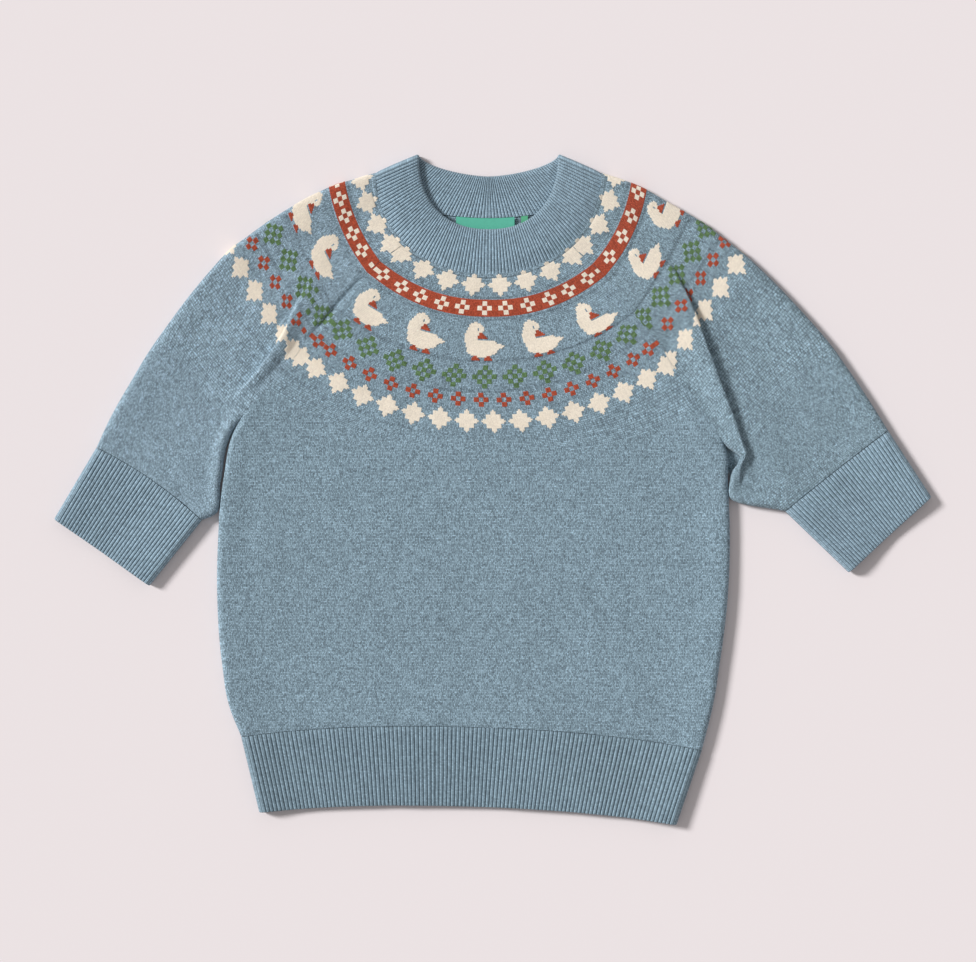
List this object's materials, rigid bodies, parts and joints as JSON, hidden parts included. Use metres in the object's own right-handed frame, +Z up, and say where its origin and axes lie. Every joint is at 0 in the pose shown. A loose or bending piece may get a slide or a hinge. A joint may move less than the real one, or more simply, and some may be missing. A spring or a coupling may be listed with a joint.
{
  "type": "fair isle jumper",
  "caption": "Child's knitted raglan jumper with a patterned round yoke, elbow-length sleeves and ribbed neck, cuffs and hem, laid flat.",
  "frame": {"origin": "middle of the garment's outline, on the surface it lies on", "axes": "+X towards the wearer's left sleeve, +Y towards the neck, +Z up from the surface, out of the front"},
  "size_m": [0.5698, 0.4356, 0.0122],
  "materials": {
    "cloth": "heathered wool stocking stitch",
    "rib": "heathered wool 1x1 rib",
    "label": "woven satin label, plain",
    "tab": "woven tab, plain"
  },
  "bodies": {
    "root": {"front": "cloth", "back": "cloth", "right_sleeve": "cloth", "left_sleeve": "cloth", "hem_rib_front": "rib", "hem_rib_back": "rib", "right_cuff": "rib", "left_cuff": "rib", "neckband": "rib", "neck_label": "label", "size_tab": "tab"}
  },
  "joints": []
}
